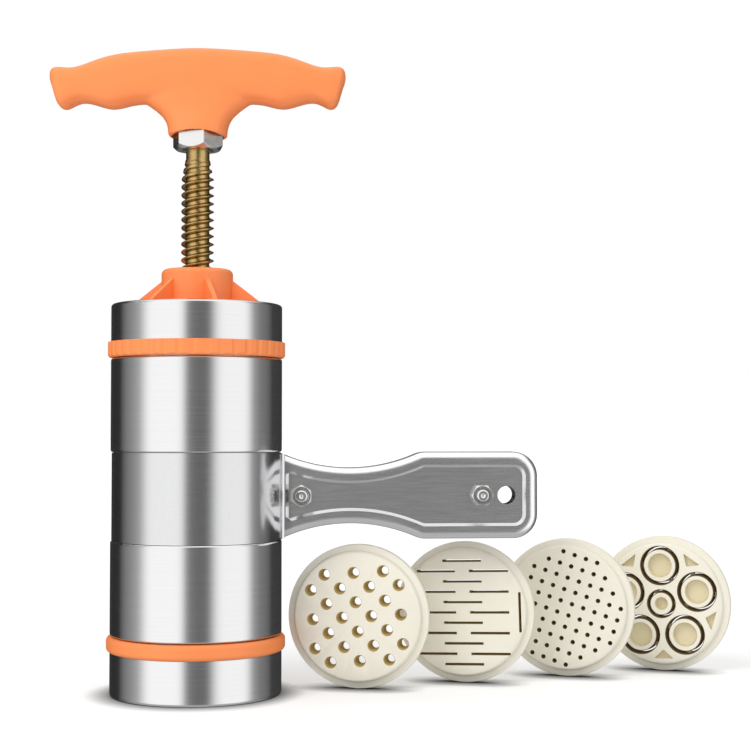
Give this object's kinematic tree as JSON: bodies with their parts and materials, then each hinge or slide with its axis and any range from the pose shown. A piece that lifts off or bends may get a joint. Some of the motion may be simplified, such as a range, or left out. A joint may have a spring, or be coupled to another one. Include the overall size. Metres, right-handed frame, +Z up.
{
  "type": "hand pasta press",
  "caption": "Hand pasta press: a screw with a T-handle drives a piston down a steel barrel with a side handle, through a die in the bottom cap; four spare dies stand beside it.",
  "frame": {"origin": "on the barrel's axis at the plane of the table that the press and the spare dies stand on", "axes": "+Z up along the barrel and the screw, +X along the side handle, -Y is the front"},
  "size_m": [0.3512, 0.1144, 0.3148],
  "materials": {
    "brushed_steel": "stainless sheet brushed round the barrel, satin with vertical reflections",
    "pressed_steel": "stamped stainless sheet, polished over the rims and matt in the panel",
    "orange_plastic": "semi-gloss moulded orange plastic with a fine moulded grain",
    "cream_plastic": "cream food-grade plastic, satin, with a faint turning ring",
    "yellow_zinc": "yellow-passivated zinc plate, glossy with slight iridescence",
    "bright_zinc": "bright zinc-plated hardware",
    "seal_rubber": "translucent silicone seal",
    "insert_steel": "zinc-plated threaded bush"
  },
  "bodies": {
    "root": {"barrel_liner": "brushed_steel", "barrel_shell": "brushed_steel", "strap_handle": "pressed_steel", "handle_bolts": "bright_zinc", "handle_nuts": "bright_zinc", "die_round_holes": "cream_plastic", "die_flat_slots": "cream_plastic", "die_fine_holes": "cream_plastic", "die_hollow_noodles": "cream_plastic"},
    "top_cap": {"top_cap": "orange_plastic", "top_cap_sleeve": "brushed_steel", "screw_insert": "insert_steel"},
    "press_plate": {"piston": "cream_plastic", "piston_seal": "seal_rubber"},
    "screw": {"lead_screw": "yellow_zinc", "lock_nut": "bright_zinc", "t_handle": "orange_plastic", "piston_washer": "bright_zinc", "piston_screw": "bright_zinc"},
    "die": {"die_fitted": "cream_plastic"},
    "bottom_cap": {"bottom_cap": "orange_plastic", "bottom_cap_sleeve": "brushed_steel"}
  },
  "joints": [
    {"name": "top_cap_lift", "type": "slide", "parent": "root", "child": "top_cap", "axis": [0, 0, 1], "range_m": [0, 0.125]},
    {"name": "press_travel", "type": "slide", "parent": "top_cap", "child": "press_plate", "axis": [0, 0, -1], "range_m": [-0.096, 0.056]},
    {"name": "screw_turn", "type": "hinge", "parent": "press_plate", "child": "screw", "pos_m": [0, 0, 0.2], "axis": [0, 0, -1], "range_deg": [-4330, 2530]},
    {"name": "bottom_cap_travel", "type": "slide", "parent": "root", "child": "die", "axis": [0, 0, -1], "range_m": [0, 0.0195]},
    {"name": "bottom_cap_turn", "type": "hinge", "parent": "die", "child": "bottom_cap", "pos_m": [0, 0, 0.01], "axis": [0, 0, -1], "range_deg": [-10, 2350]}
  ],
  "couplings": [
    {"joint": "screw_turn", "follows": "press_travel", "rad_per_m": 785.4},
    {"joint": "bottom_cap_turn", "follows": "bottom_cap_travel", "rad_per_m": 2094.4}
  ]
}
